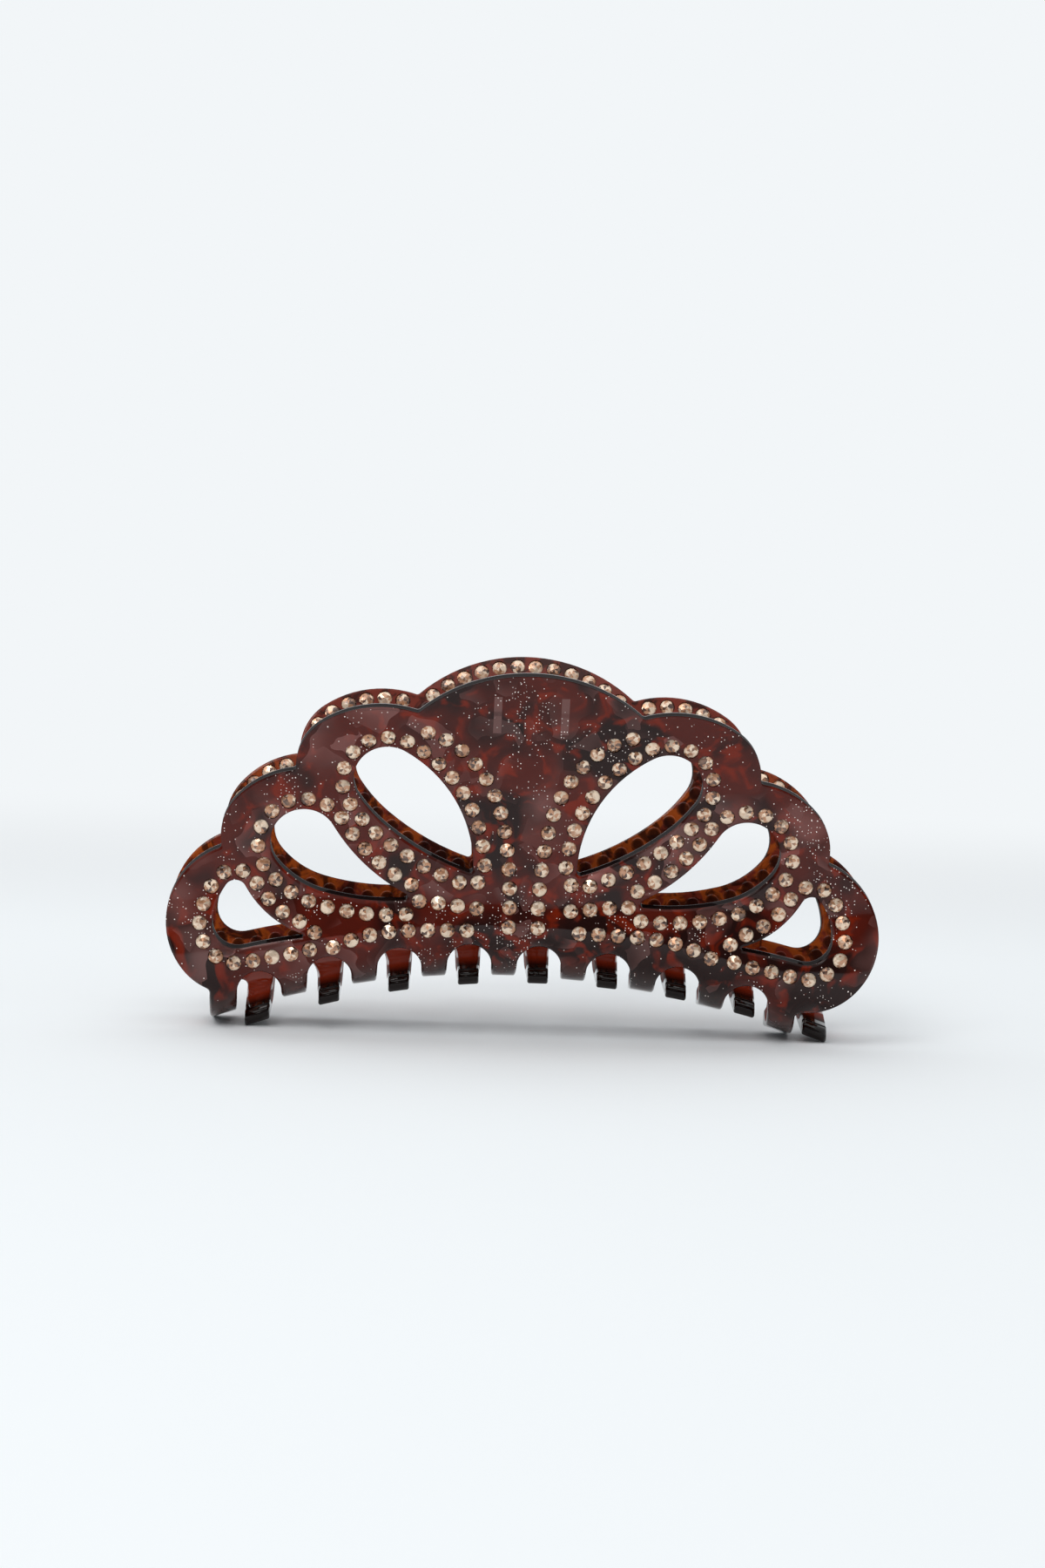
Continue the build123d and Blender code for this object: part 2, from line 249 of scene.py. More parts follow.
@dataclass(frozen=True)
class Chips:
    """Chips of pearl of one size: cells per millimetre, and how slope and chance show them."""

    scale: float
    slope: Rise
    chance: Rise

    def build(self, g: Graph, place: Socket) -> tuple[Socket, Socket]:
        """Chips with a soft slope across each one.

        The slope is the dot product of the place within a cell and the cell's own heading,
        which is its random colour less a half. The chance is one part of that colour.

        Args:
            g: The material's graph.
            place: Places in millimetres, already bent by noise.

        Returns:
            The chips' strength, 0 to 1, and their headings.
        """
        cell = g.node("TexVoronoi", {"Vector": place, "Scale": self.scale})
        within = g.vector("SUBTRACT", place, cell.outputs["Position"])
        heading = g.vector("SUBTRACT", cell.outputs["Color"], (0.5, 0.5, 0.5)).outputs[0]
        slope = g.vector("DOT_PRODUCT", within, heading).outputs["Value"]
        chance = g.node("SeparateColor", {0: cell.outputs["Color"]}).outputs[1]
        shown = g.step(g.product(slope, self.scale), *self.slope)
        return g.product(shown, g.step(chance, *self.chance)), heading


@dataclass(frozen=True)
class Glitter:
    """Fine round flecks in loose patches, denser at some places of the face."""

    scale: float = 2.3
    patch_scale: float = 0.16
    patch_rise: Rise = (0.48, 0.76, 0.38)
    rarest: float = 0.970
    gather: float = 0.12
    smallest: float = 0.11
    largest: float = 0.23
    faintest: float = 0.4
    teeth_rise: Rise = (-8.5, -5.5)
    places: tuple[Place, ...] = (
        (-50.0, 22.0, 13.0), (0.0, 53.0, 11.0), (46.0, 27.0, 12.0), (40.0, 38.0, 9.0),
        (-2.0, 17.0, 12.0))

    def build(self, g: Graph, x: Socket, z: Socket, bent: Socket, arch: Socket) -> Socket:
        """The flecks, as a mask.

        They are the middles of flat cells over x and z. A cell has one where its random
        number passes a limit that a slow noise lowers, and its size follows another one.

        Args:
            g: The material's graph.
            x: Place along the clip in millimetres.
            z: Height in millimetres.
            bent: Places bent by noise.
            arch: Height above the start of the curl in millimetres.

        Returns:
            0 to 1, and 0 on the tips of the teeth.
        """
        flat = g.node("CombineXYZ", {0: x, 1: z})
        cell = g.node("TexVoronoi", {"Vector": flat, "Scale": self.scale}, voronoi_dimensions="2D")
        chance, size, light = g.node("SeparateColor", {0: cell.outputs["Color"]}).outputs
        dense = g.product(g.spots(x, z, self.places), self.gather)
        patch = g.math("ADD", g.noise(bent, self.patch_scale, detail=3.0, rough=0.6), dense)
        needed = g.less(self.rarest, g.step(patch, *self.patch_rise))
        chosen = g.math("GREATER_THAN", chance, needed)
        reach = g.blend(size, self.smallest, self.largest)
        inside = g.math("LESS_THAN", cell.outputs["Distance"], reach)
        shown = g.product(g.product(chosen, inside), g.blend(light, self.faintest, 1.0))
        return g.product(shown, g.step(arch, *self.teeth_rise))


@dataclass(frozen=True)
class Polish:
    """The polished skin of a jaw: a slow ripple, round arrises and crowned teeth."""

    ripple_scale: float = 0.12
    ripple_depth: float = 0.0008
    ripple_strength: float = 0.12
    edge_crown: float = 0.32
    edge_round: float = 0.50
    plate_rise: Rise = (-0.5, 1.0)
    tooth_crown: float = 0.19
    tooth_pitch: float = 10.94
    tooth_rise: Rise = (-1.0, -9.0)
    tip_middle: float = -2.4
    tip_crown: float = 0.60
    tip_start: float = 3.9
    tip_end: float = 4.9
    upright_fall: Rise = (44.0, 24.0)
    upright_rise: Rise = (8.0, 14.0)
    face_fall: Rise = (0.3, 0.1)
    lean: float = 0.08

    def build(self, g: Graph, at: Socket, xyz: tuple[Socket, Socket, Socket], depth: Socket,
              arch: Socket) -> Socket:
        """Normals of the polished skin.

        They are the mesh's normals with a slow ripple. Tumbled arrises are round, so the height
        rises smoothly with the depth near each face and is level between. Across each tooth it
        falls with the square of the distance from the middle, and so it does across the
        thickness at a tooth's tip, where the depth is below 0. Where the outer face is nearly
        upright the normals lean up a little, as on a sheet that is bent by hand.

        Args:
            g: The material's graph.
            at: Places in millimetres.
            xyz: The same places apart, along the clip, across it and up.
            depth: Depths below the outer face in millimetres.
            arch: Heights above the start of the curl in millimetres.

        Returns:
            The normals.
        """
        x, y, z = xyz
        wavy = g.node("Bump", {"Height": g.noise(at, self.ripple_scale, detail=1.0),
                               "Strength": self.ripple_strength, "Distance": self.ripple_depth})
        outer = g.step(depth, 0.0, self.edge_round, self.edge_crown)
        inner = g.step(depth, BEND.sheet, BEND.sheet - self.edge_round)
        round_edge = g.product(outer, inner, g.step(arch, *self.plate_rise))
        beside = g.math("PINGPONG", g.less(x, BEND.arch_x), self.tooth_pitch / 2)
        round_tooth = g.product(beside, beside, g.step(arch, *self.tooth_rise), -self.tooth_crown)
        nose = g.less(depth, self.tip_middle)
        at_tip = g.step(y, self.tip_start, self.tip_end, -self.tip_crown)
        round_tip = g.product(nose, nose, at_tip)
        height = g.math("ADD", g.math("ADD", round_edge, round_tooth), round_tip)
        crowned = g.node("Bump", {"Height": height, "Strength": 1.0, "Distance": MM,
                                  "Normal": wavy})
        upright = g.product(g.step(z, *self.upright_fall), g.step(z, *self.upright_rise))
        up = g.node("CombineXYZ", {2: g.product(upright, g.step(depth, *self.face_fall),
                                                self.lean)})
        return g.vector("NORMALIZE", g.vector("ADD", crowned, up)).outputs[0]


@dataclass(frozen=True)
class Acetate:
    """Pearl mosaic acetate outside, dark laminate between, amber tortoise inside.

    Lengths are in millimetres, and scales are per millimetre. A name with share is how far a
    layer covers the one below it.
    """

    charcoal: Colour = (0.019, 0.006, 0.005)
    burgundy: Colour = (0.095, 0.011, 0.006)
    ember: Colour = (0.23, 0.018, 0.004)
    pearl: Colour = (0.46, 0.215, 0.195)
    # Grey where the teeth curl under: a painted reflection of the table.
    stub_table_reflection: Colour = (0.055, 0.040, 0.036)
    glitter: Colour = (1.0, 0.90, 0.84)
    tab: Colour = (0.22, 0.11, 0.10)
    wall: Colour = (0.010, 0.006, 0.006)
    amber: Colour = (0.40, 0.080, 0.013)
    rust: Colour = (0.20, 0.031, 0.017)
    tooth: Colour = (0.21, 0.020, 0.006)
    tortoise: Colour = (0.024, 0.006, 0.004)
    tip: Colour = (0.009, 0.004, 0.003)
    back_shift: Place = (37.0, 11.0, 5.0)
    wave_scale: float = 0.14
    wave_reach: float = 9.0
    broad_scale: float = 0.075
    burgundy_rise: Rise = (0.42, 0.56)
    fine_scale: float = 0.30
    ember_rise: Rise = (0.52, 0.68, 0.8)
    large_chips: Chips = Chips(0.13, (-0.10, 0.42), (0.45, 0.85))
    small_chips: Chips = Chips(0.26, (-0.05, 0.38), (0.60, 0.95, 0.75))
    chip_lean: float = 0.7
    quiet_height: float = 46.0
    quiet_fall: Rise = (26.0, 10.0, 0.55)
    # Places of painted sheen, where light catches the pearl: middle x and z, and reach.
    painted_sheen_places: tuple[Place, ...] = (
        (-49.0, 23.5, 6.5), (60.0, 19.5, 5.5), (47.0, 40.0, 5.0), (7.0, 41.5, 4.5),
        (-16.5, 38.0, 5.0), (-33.5, 38.5, 5.0), (-38.0, 21.0, 5.0))
    painted_sheen_share: float = 0.72
    pearl_share: float = 0.40
    least_metal: float = 0.03
    most_metal: float = 0.47
    stub_reflection_fall: Rise = (-4.0, -8.5, 0.8)
    rust_rise: Rise = (34.0, 46.0)
    cloud_scale: float = 0.34
    cloud_rise: Rise = (0.46, 0.58)
    patch_scale: float = 0.27
    patch_rise: Rise = (0.47, 0.60, 0.85)
    tooth_fall: Rise = (1.0, -2.0)
    spot_share: float = 0.9
    skin_end: Rise = (0.25, 0.38)
    wall_end: Rise = (2.75, 2.60)
    wall_top: Rise = (-1.0, 0.5)
    tip_rise: Rise = (-1.5, 3.2)
    dull_start: Rise = (0.30, 0.65)
    dull_end: Rise = (2.75, 2.45)
    dull_share: float = 0.88
    # How strongly the glitter flecks glow: a painted sparkle, given as emission.
    glow: float = 0.3
    tab_aside: float = 5.2
    tab_height: float = 51.4
    tab_half: tuple[float, float] = (0.62, 2.9)
    tab_gap_height: float = 51.6
    tab_gap: Rise = (0.2, 0.5, 0.4)
    tab_share: float = 0.75
    flecks: Glitter = Glitter()
    polish: Polish = Polish()

    def depth(self, g: Graph, x: Socket, y: Socket, z: Socket) -> tuple[Socket, Socket]:
        """Depth below the sheet's outer face, in millimetres.

        In the plate it is the distance from the bend's centre less the outer radius, and in
        the curl the outer radius less the distance from the curl's centre.

        Args:
            g: The material's graph.
            x: Place along the clip.
            y: Place from front to back.
            z: Height.

        Returns:
            The depth, and the height above the start of the curl, square to the arch.
        """
        up = g.math("MAXIMUM", g.less(z, BEND.start_z), 0.0)
        plate = g.less(g.length(g.less(y, BEND.centre_y), up), BEND.outer_radius)
        from_axis = g.length(g.less(x, BEND.arch_x), g.less(z, BEND.arch_z))
        arch = g.math("ADD", from_axis, BEND.arch_z - BEND.curl_z)
        down = g.math("MINIMUM", arch, 0.0)
        curl = g.less(BEND.curl_radius, g.length(g.less(y, BEND.curl_y), down))
        in_curl = g.math("LESS_THAN", arch, BEND.curl_top)
        return g.math("ADD", plate, g.product(in_curl, g.less(curl, plate))), arch

    def sheen(self, g: Graph, x: Socket, z: Socket, bent: Socket) -> tuple[Socket, Socket]:
        """Where the pearl and its painted sheen show, and how its chips tilt.

        It is the stronger of two sizes of chips, calmer in the middle of the crown, and of a few
        places of painted sheen, where light catches the pearl.

        Args:
            g: The material's graph.
            x: Place along the clip in millimetres.
            z: Height in millimetres.
            bent: Places bent by noise.

        Returns:
            The pearl's strength with its painted sheen, 0 to 1, and what its chips add to the
            normal.
        """
        large, heading_large = self.large_chips.build(g, bent)
        small, heading_small = self.small_chips.build(g, bent)
        middle = g.length(x, g.less(z, self.quiet_height))
        quiet = g.less(1.0, g.step(middle, *self.quiet_fall))
        chips = g.product(g.math("MAXIMUM", large, small), quiet)
        bent_x, _, bent_z = g.split(bent)
        # Painted sheen: a few soft bright places on the face.
        painted_sheen = g.product(g.spots(bent_x, bent_z, self.painted_sheen_places), self.painted_sheen_share)
        tilt = g.vector("ADD", g.scaled(heading_large, g.product(large, self.chip_lean)),
                        g.scaled(heading_small, g.product(small, self.chip_lean)))
        return g.math("MAXIMUM", chips, painted_sheen), tilt.outputs[0]

    def skin(self, g: Graph, x: Socket, z: Socket, bent: Socket, sheen: Socket,
             arch: Socket) -> Socket:
        """Colour of the outer face without its glitter: clouds, pearl, tabs, and grey on the stubs'
        curled bottoms as a painted reflection of the table.

        Args:
            g: The material's graph.
            x: Place along the clip in millimetres.
            z: Height in millimetres.
            bent: Places bent by noise.
            sheen: The pearl's strength.
            arch: Height above the start of the curl in millimetres.

        Returns:
            The colour.
        """
        broad = g.step(g.noise(bent, self.broad_scale), *self.burgundy_rise)
        fine = g.step(g.noise(bent, self.fine_scale), *self.ember_rise)
        colour = g.mix(fine, g.mix(broad, self.charcoal, self.burgundy), self.ember)
        colour = g.mix(g.product(sheen, self.pearl_share), colour, self.pearl)
        colour = g.mix(self.tabs(g, x, z), colour, self.tab)
        # Painted reflection of the table, grey on the stubs' curled bottoms.
        return g.mix(g.step(arch, *self.stub_reflection_fall), colour, self.stub_table_reflection)

    def lining(self, g: Graph, at: Socket, bent: Socket, z: Socket, arch: Socket) -> Socket:
        """Colour of the inner face: amber and rust with tortoise patches, and red teeth.

        Args:
            g: The material's graph.
            at: Places in millimetres.
            bent: Places bent by noise.
            z: Height in millimetres.
            arch: Height above the start of the curl in millimetres.

        Returns:
            The colour, dark where the mesh has a spot attribute.
        """
        colour = g.mix(g.step(z, *self.rust_rise), self.amber, self.rust)
        clouds = g.noise(bent, self.cloud_scale, detail=3.0, rough=0.6)
        colour = g.mix(g.step(clouds, *self.cloud_rise), colour, self.rust)
        patches = g.noise(at, self.patch_scale, detail=3.0, rough=0.6, warp=1.0)
        colour = g.mix(g.step(patches, *self.patch_rise), colour, self.tortoise)
        colour = g.mix(g.step(arch, *self.tooth_fall), colour, self.tooth)
        spot = g.node("Attribute", attribute_name="spot").outputs["Fac"]
        return g.mix(g.product(spot, self.spot_share), colour, self.tortoise)

    def tabs(self, g: Graph, x: Socket, z: Socket) -> Socket:
        """Two upright marks where the bracket's tabs show through the sheet."""
        across = g.math("ABSOLUTE", g.less(g.math("ABSOLUTE", x), self.tab_aside))
        height = g.math("ABSOLUTE", g.less(z, self.tab_height))
        gap = g.math("ABSOLUTE", g.less(z, self.tab_gap_height))
        half_width, half_height = self.tab_half
        return g.product(g.math("LESS_THAN", across, half_width),
                         g.math("LESS_THAN", height, half_height),
                         g.math("ADD", g.step(gap, *self.tab_gap), 1.0 - self.tab_gap[2]),
                         self.tab_share)

    def build(self, side: Side) -> bpy.types.Material:
        """The finish of one jaw.

        Args:
            side: The jaw. The back one reads the same pattern, turned half a turn and moved.

        Returns:
            The material.
        """
        g = Graph.named(f"pearl_acetate_{side.body}")
        place = g.node("TexCoord").outputs["Object"]
        turned = g.vector("MULTIPLY", place, (side.value / MM, side.value / MM, 1.0 / MM))
        x, y, z = g.split(turned)
        depth, arch = self.depth(g, x, y, z)
        shift = (0.0, 0.0, 0.0) if side is Side.FRONT else self.back_shift
        at = g.vector("ADD", turned, shift).outputs[0]
        wave = g.node("TexNoise", {"Vector": at, "Scale": self.wave_scale, "Detail": 1.5})
        bent = g.vector("ADD", at, g.scaled(wave.outputs["Color"], self.wave_reach)).outputs[0]

        sheen, tilt = self.sheen(g, x, z, bent)
        flecks = self.flecks.build(g, x, z, bent, arch)
        outer = g.mix(flecks, self.skin(g, x, z, bent, sheen, arch), self.glitter)
        below = g.step(depth, *self.skin_end)
        cut = g.product(below, g.step(depth, *self.wall_end), g.step(arch, *self.wall_top))
        colour = g.mix(below, outer, self.lining(g, at, bent, z, arch))
        colour = g.mix(cut, colour, self.wall)
        colour = g.mix(g.step(y, *self.tip_rise), colour, self.tip)

        face = g.less(1.0, below)
        metal = g.product(face, g.less(1.0, flecks),
                          g.blend(sheen, self.least_metal, self.most_metal))
        polished = self.polish.build(g, at, (x, y, z), depth, arch)
        foil = g.vector("NORMALIZE", g.vector("ADD", polished, tilt))
        dull = g.product(g.step(depth, *self.dull_start), g.step(depth, *self.dull_end))
        gloss = g.less(1.0, g.product(dull, self.dull_share))
        # The glitter flecks also glow a little through the emission: a painted sparkle.
        return g.close(Base_Color=colour, Metallic=metal, Roughness=0.32, IOR=1.49,
                       Specular_IOR_Level=0.0, Normal=foil, Coat_Weight=gloss,
                       Coat_Roughness=0.03, Coat_IOR=1.34, Coat_Normal=polished,
                       Emission_Color=self.glitter,
                       Emission_Strength=g.product(flecks, face, self.glow))


@dataclass(frozen=True)
class FoiledStone:
    """Champagne stones with foil behind, with highlight and shade painted facet by facet. The scale
    is per metre.
    """

    # Painted shade, middle tone and highlight of the facets.
    dark: Colour = (0.08, 0.03, 0.015)
    middle: Colour = (0.58, 0.28, 0.145)
    light: Colour = (1.0, 0.78, 0.58)
    middle_rise: Rise = (0.25, 0.38)
    light_rise: Rise = (0.50, 0.62)
    cloud_scale: float = 900.0
    cloud_rise: Rise = (0.45, 0.7, 0.25)

    def build(self) -> bpy.types.Material:
        """The stones' material, which reads the facet attribute of painted highlight and shade, and
        the glint attribute.
        """
        g = Graph.named("champagne_stone")
        value = g.node("Attribute", attribute_name="facet").outputs["Fac"]
        colour = g.mix(g.step(value, *self.middle_rise), self.dark, self.middle)
        colour = g.mix(g.step(value, *self.light_rise), colour, self.light)
        cloud = g.noise(g.node("TexCoord").outputs["Object"], self.cloud_scale, detail=1.0)
        colour = g.mix(g.step(cloud, *self.cloud_rise), colour, self.middle)
        glint = g.node("Attribute", attribute_name="glint").outputs["Vector"]
        foil = g.node("VectorTransform", {"Vector": glint}, vector_type="NORMAL",
                      convert_from="OBJECT", convert_to="WORLD")
        return g.close(Base_Color=colour, Metallic=0.35, Roughness=0.12, IOR=1.54,
                       Normal=foil, Coat_Weight=1.0, Coat_Roughness=0.02, Coat_IOR=1.6)


@dataclass(frozen=True)
class Steel:
    """Satin steel with fine drawn lines, as many to the metre as lines says for each axis."""

    name: str
    base: Colour
    roughness: float
    lines: Place
    dull_share: float = 0.80
    dull_rise: Rise = (0.35, 0.70)
    rough_rise: Rise = (0.3, 0.7, 0.14)
    grain_depth: float = 0.00005
    grain_strength: float = 0.15

    def build(self) -> bpy.types.Material:
        """The metal's material."""
        g = Graph.named(self.name)
        place = g.node("TexCoord").outputs["Object"]
        grain = g.noise(g.vector("MULTIPLY", place, self.lines), 1.0, detail=3.0, rough=0.6)
        dull = tuple(self.dull_share * c for c in self.base)
        colour = g.mix(g.step(grain, *self.dull_rise), self.base, dull)
        rough = g.math("ADD", g.step(grain, *self.rough_rise), self.roughness)
        bump = g.node("Bump", {"Height": grain, "Strength": self.grain_strength,
                               "Distance": self.grain_depth})
        return g.close(Base_Color=colour, Metallic=1.0, Roughness=rough, Normal=bump)


def add_piece(name: str, vertices: np.ndarray, faces: Sequence[np.ndarray],
              material: bpy.types.Material, side: Side) -> bpy.types.Object:
    """Adds a mesh piece that rides on a jaw.

    Args:
        name: The piece's name.
        vertices: Places in metres, one row each.
        faces: Arrays of faces, each with its own number of corners.
        material: Its finish.
        side: The jaw it rides on.

    Returns:
        The new object.
    """
    corners = np.concatenate([part.ravel() for part in faces]).astype(np.int32)
    counts = np.concatenate([np.full(len(part), part.shape[1]) for part in faces])
    starts = np.concatenate([[0], np.cumsum(counts)[:-1]]).astype(np.int32)
    mesh = bpy.data.meshes.new(name)
    mesh.vertices.add(len(vertices))
    mesh.vertices.foreach_set("co", vertices.astype(np.float32).ravel())
    mesh.loops.add(len(corners))
    mesh.loops.foreach_set("vertex_index", corners)
    mesh.polygons.add(len(counts))
    mesh.polygons.foreach_set("loop_start", starts)
    mesh.update(calc_edges=True)
    mesh.validate()
    mesh.materials.append(material)
    piece = bpy.data.objects.new(name, mesh)
    bpy.context.scene.collection.objects.link(piece)
    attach(piece, side.body)
    log.info("%s: %d faces on %s", name, len(counts), side.body)
    return piece


def turn(points: np.ndarray, side: Side) -> np.ndarray:
    """Turns places or directions half a turn about Z for the back jaw."""
    return points * np.array([side.value, side.value, 1.0])


def stone_places(node: str, side: Side) -> np.ndarray:
    """Middles of the stones in a node of the frame, turned onto the front jaw.

    Corners at the same place are one, and the lowest label spreads along the triangles'
    edges until each stone has one label. The middle is the mean of its corners.

    Args:
        node: The node's name.
        side: The jaw it is on.

    Returns:
        One row for each stone, in millimetres.
    """
    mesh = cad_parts[node].data
    corners = np.empty(len(mesh.vertices) * 3)
    mesh.vertices.foreach_get("co", corners)
    mesh.calc_loop_triangles()
    triangles = np.empty(len(mesh.loop_triangles) * 3, np.int32)
    mesh.loop_triangles.foreach_get("vertices", triangles)
    places, same = np.unique(np.round(corners.reshape(-1, 3) / MM, 3), axis=0,
                             return_inverse=True)
    triangles = same.ravel()[triangles].reshape(-1, 3)
    labels = np.arange(len(places))
    while True:
        lowest = labels[triangles].min(axis=1)
        spread = labels.copy()
        for corner in range(3):
            np.minimum.at(spread, triangles[:, corner], lowest)
        if np.array_equal(spread, labels):
            break
        labels = spread
    _, stones = np.unique(labels, return_inverse=True)
    counts = np.bincount(stones)
    middles = np.stack([np.bincount(stones, places[:, axis]) / counts for axis in range(3)],
                       axis=1)
    return turn(middles, side)


@dataclass
class StoneSet:
    """Cut stones of one jaw, in their seats.

    Sizes are in millimetres: radius at the girdle, heights above the girdle, and how far the
    girdle lies below the sheet's face. The lean of the foil is in degrees.
    """

    name: str
    source: str
    side: Side
    face: Face
    seed: int
    replaces: bool = True
    source_side: Side = Side.FRONT
    radius: float = 1.175
    table_share: float = 0.56
    belt_share: float = 0.80
    crown: float = 0.35
    belt: float = 0.20
    girdle: float = 0.10
    pavilion: float = 0.85
    sink: float = 0.18
    folds: int = 8
    lean_low: float = 4.0
    lean_high: float = 34.0
    wedge_share: float = 0.62

    def cut(self) -> tuple[np.ndarray, list[np.ndarray], np.ndarray]:
        """One stone about its own axis.

        Rings of corners at set radii and heights: the table, a belt turned by half a fold,
        and the girdle's upper and lower ring with twice as many corners. The table is a fan
        of wedges, which stand for the facets seen through it.

        Returns:
            Corners, faces by their number of corners, and the wedge that each face is in.
        """
        n = self.folds
        k = np.arange(n)
        after = (k + 1) % n
        m = np.arange(2 * n)
        m_after = (m + 1) % (2 * n)
        turn_one = 2 * np.pi * k / n
        turn_two = np.pi * m / n

        def ring(angles: np.ndarray, radius: float, height: float) -> np.ndarray:
            """Corners on a circle."""
            return np.stack([radius * np.cos(angles), radius * np.sin(angles),
                             np.full(len(angles), height)], axis=1)

        corners = np.concatenate([
            [[0.0, 0.0, self.crown]],
            ring(turn_one, self.radius * self.table_share, self.crown),
            ring(turn_one + np.pi / n, self.radius * self.belt_share, self.belt),
            ring(turn_two, self.radius, 0.0),
            ring(turn_two, self.radius, -self.girdle),
            [[0.0, 0.0, -self.girdle - self.pavilion]],
        ])
        table, belt, upper = 1 + k, 1 + n + k, 1 + 2 * n + m
        lower, tip = upper + 2 * n, len(corners) - 1
        wedges = np.stack([np.zeros(n, int), table, table[after]], axis=1)
        stars = np.stack([table, belt, table[after]], axis=1)
        kites = np.stack([table, belt[k - 1], upper[2 * k], belt], axis=1)
        halves_a = np.stack([belt, upper[2 * k], upper[2 * k + 1]], axis=1)
        halves_b = np.stack([belt, upper[2 * k + 1], upper[(2 * k + 2) % (2 * n)]], axis=1)
        walls = np.stack([upper, lower, lower[m_after], upper[m_after]], axis=1)
        points = np.stack([lower, np.full(2 * n, tip), lower[m_after]], axis=1)
        triangles = np.concatenate([wedges, stars, halves_a, halves_b, points])
        quads = np.concatenate([kites, walls])
        wedge_of = np.concatenate([k, k, k, k, m // 2, k, m // 2])
        corners[:, 2] -= self.sink
        return corners, [triangles, quads], wedge_of

    def build(self, material: bpy.types.Material) -> bpy.types.Object:
        """Puts a stone in each seat, each turned by its own angle, and paints highlight and shade
        on its facets.
        """
        middles = stone_places(self.source, self.source_side)
        places, normals = BEND.project(middles, self.face)
        draw = np.random.default_rng(self.seed)
        count = len(places)
        corners, faces, wedge_of = self.cut()
        angle = draw.uniform(0, 2 * np.pi, count)
        level = np.tile([1.0, 0.0, 0.0], (count, 1))
        upward = np.cross(normals, level)
        first = np.cos(angle)[:, None] * level + np.sin(angle)[:, None] * upward
        second = np.cross(normals, first)
        axes = np.stack([first, second, normals], axis=1)
        vertices = places[:, None, :] + np.einsum("cj,sjk->sck", corners, axes)
        vertices = turn(vertices.reshape(-1, 3), self.side) * MM
        first_corner = (np.arange(count) * len(corners))[:, None, None]
        spread = [(part[None] + first_corner).reshape(-1, part.shape[1]) for part in faces]
        piece = add_piece(self.name, vertices, spread, material, self.side)
        sizes = [len(part) for part in faces]
        # Painted highlight and shade, facet by facet.
        shade = self.painted_facet_shades(draw, count, sizes, wedge_of)
        attribute = piece.data.attributes.new("facet", "FLOAT", "FACE")
        attribute.data.foreach_set("value", shade.astype(np.float32))
        glint = self.glints(draw, axes, sizes, wedge_of)
        attribute = piece.data.attributes.new("glint", "FLOAT_VECTOR", "FACE")
        attribute.data.foreach_set("vector", turn(glint, self.side).astype(np.float32).ravel())
        if self.replaces:
            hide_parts(self.source)
        return piece

    def glints(self, draw: np.random.Generator, axes: np.ndarray, sizes: Sequence[int],
               wedge_of: np.ndarray) -> np.ndarray:
        """Normals of the foil seen through each facet.

        The foil behind wedge k leans away from the stone's axis towards the middle of the
        wedge, by an angle drawn for each wedge of each stone.

        Args:
            draw: The random source.
            axes: Each stone's own three axes.
            sizes: How many faces of each kind one stone has.
            wedge_of: The wedge of each face of one stone.

        Returns:
            One normal for each face, in the order of the mesh's faces.
        """
        count = len(axes)
        lean = radians(1.0) * draw.uniform(self.lean_low, self.lean_high, (count, self.folds))
        way = 2 * np.pi * (np.arange(self.folds) + 0.5) / self.folds
        local = np.stack([np.sin(lean) * np.cos(way), np.sin(lean) * np.sin(way),
                          np.cos(lean)], axis=2)
        normals = np.einsum("skj,sjc->skc", local, axes)[:, wedge_of]
        split = np.cumsum(sizes)[:-1]
        return np.concatenate([part.reshape(-1, 3) for part in np.split(normals, split, axis=1)])

    def painted_facet_shades(self, draw: np.random.Generator, count: int, sizes: Sequence[int],
               wedge_of: np.ndarray) -> np.ndarray:
        """Painted brightness of each facet, from shade to highlight.

        It is a blend of a random number for each wedge of each stone and one for each facet.

        Args:
            draw: The random source.
            count: How many stones there are.
            sizes: How many faces of each kind one stone has.
            wedge_of: The wedge of each face of one stone.

        Returns:
            One number for each face, in the order of the mesh's faces.
        """
        wedge = draw.uniform(0, 1, (count, self.folds))
        own = draw.uniform(0, 1, (count, len(wedge_of)))
        value = self.wedge_share * wedge[:, wedge_of] + (1.0 - self.wedge_share) * own
        split = np.cumsum(sizes)[:-1]
        return np.concatenate([part.ravel() for part in np.split(value, split, axis=1)])


